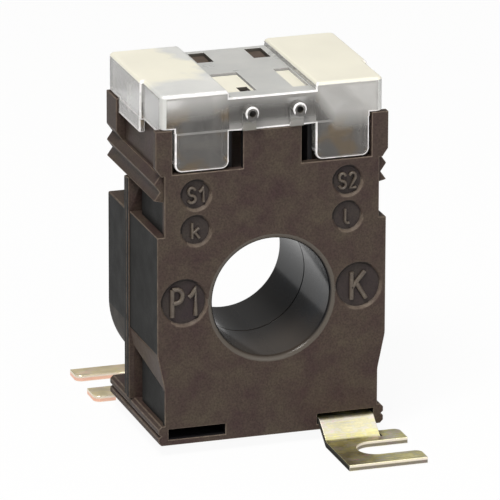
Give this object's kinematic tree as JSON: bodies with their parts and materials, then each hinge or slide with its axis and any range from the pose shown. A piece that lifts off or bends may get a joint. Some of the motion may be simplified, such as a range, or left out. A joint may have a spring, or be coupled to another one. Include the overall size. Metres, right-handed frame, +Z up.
{
  "type": "cable current transformer",
  "caption": "Small ring current transformer in a brown plastic case: round cable bore, screw terminals under a frosted cover and slotted push-in steel feet.",
  "frame": {"origin": "on the mounting surface, under the middle of the housing, where the feet's undersides lie", "axes": "+Z up from the feet to the terminal cover, -Y out of the marked front face along the cable bore, +X to the right as seen from the front"},
  "size_m": [0.0486, 0.0664, 0.069],
  "materials": {
    "housing_plastic": "matt moulded brown plastic",
    "cover_plastic": "frosted translucent plastic",
    "yellow_zinc_steel": "sheet steel, yellow passivated zinc",
    "zinc_steel": "bright zinc plated steel",
    "tinned_brass": "tinned brass",
    "core_steel": "wound silicon steel strip",
    "cup_plastic": "black moulded insulating cup",
    "winding_copper": "enamelled copper wire",
    "winding_tape": "yellow polyester tape"
  },
  "bodies": {
    "housing": {"case": "housing_plastic", "rear_cap": "housing_plastic", "core": "core_steel", "core_cup_front": "cup_plastic", "core_cup_rear": "cup_plastic", "secondary_winding": "winding_copper", "winding_tape": "winding_tape", "terminal_plate_s1": "tinned_brass", "terminal_nut_s1": "zinc_steel", "winding_lead_s1": "winding_copper", "terminal_plate_s2": "tinned_brass", "terminal_nut_s2": "zinc_steel", "winding_lead_s2": "winding_copper"},
    "cover": {"terminal_cover": "cover_plastic"},
    "front_foot": {"foot_front": "yellow_zinc_steel"},
    "rear_foot": {"foot_rear": "yellow_zinc_steel"},
    "clamp_s1": {"clamp_plate_s1": "zinc_steel", "lock_washer_s1": "zinc_steel"},
    "screw_s1": {"terminal_screw_s1": "zinc_steel"},
    "clamp_s2": {"clamp_plate_s2": "zinc_steel", "lock_washer_s2": "zinc_steel"},
    "screw_s2": {"terminal_screw_s2": "zinc_steel"}
  },
  "joints": [
    {"name": "cover_lift", "type": "slide", "parent": "housing", "child": "cover", "axis": [0, 0, 1], "range_m": [0, 0.025]},
    {"name": "front_foot_pull", "type": "slide", "parent": "housing", "child": "front_foot", "axis": [0, -1, 0], "range_m": [0, 0.012]},
    {"name": "rear_foot_pull", "type": "slide", "parent": "housing", "child": "rear_foot", "axis": [0, 1, 0], "range_m": [0, 0.012]},
    {"name": "clamp_rise_s1", "type": "slide", "parent": "housing", "child": "clamp_s1", "axis": [0, 0, 1], "range_m": [0, 0.0028]},
    {"name": "screw_turn_s1", "type": "hinge", "parent": "clamp_s1", "child": "screw_s1", "pos_m": [-0.01362, -0.0034, 0.0592], "axis": [0, 0, 1], "range_deg": [0, 1440]},
    {"name": "clamp_rise_s2", "type": "slide", "parent": "housing", "child": "clamp_s2", "axis": [0, 0, 1], "range_m": [0, 0.0028]},
    {"name": "screw_turn_s2", "type": "hinge", "parent": "clamp_s2", "child": "screw_s2", "pos_m": [0.01362, -0.0034, 0.0592], "axis": [0, 0, 1], "range_deg": [0, 1440]}
  ],
  "couplings": [
    {"joint": "screw_turn_s1", "follows": "clamp_rise_s1", "rad_per_m": 8975.9},
    {"joint": "screw_turn_s2", "follows": "clamp_rise_s2", "rad_per_m": 8975.9}
  ]
}
